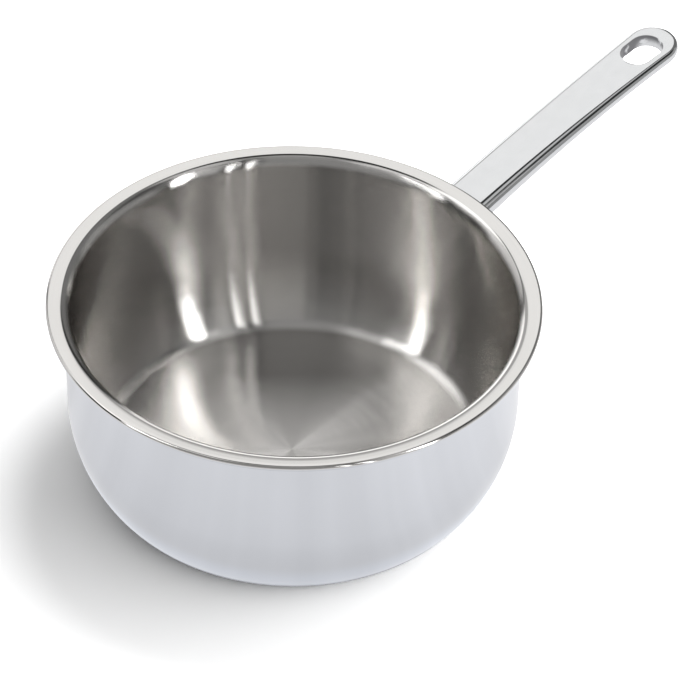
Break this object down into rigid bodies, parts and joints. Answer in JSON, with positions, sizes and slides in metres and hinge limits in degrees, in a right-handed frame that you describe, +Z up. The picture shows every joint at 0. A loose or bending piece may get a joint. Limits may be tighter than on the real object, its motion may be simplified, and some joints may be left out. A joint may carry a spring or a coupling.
{
  "type": "saucier pan",
  "caption": "Polished clad steel saucier pan with a rounded bowl, a flared pouring lip and a welded stick handle with a hanging slot.",
  "frame": {"origin": "centre of the flat base, on the surface the pan stands on", "axes": "+Z up out of the base, +X from the bowl's axis along the handle"},
  "size_m": [0.3395, 0.206, 0.1059],
  "materials": {
    "inner_steel": "satin, circular brushed on the floor",
    "core_aluminium": "plain, enclosed",
    "outer_steel": "mirror polished",
    "handle_steel": "polished casting",
    "weld_steel": "fused, enclosed"
  },
  "bodies": {
    "root": {"inner_skin": "inner_steel", "aluminium_core": "core_aluminium", "outer_skin": "outer_steel", "handle": "handle_steel", "spot_welds": "weld_steel"}
  },
  "joints": []
}
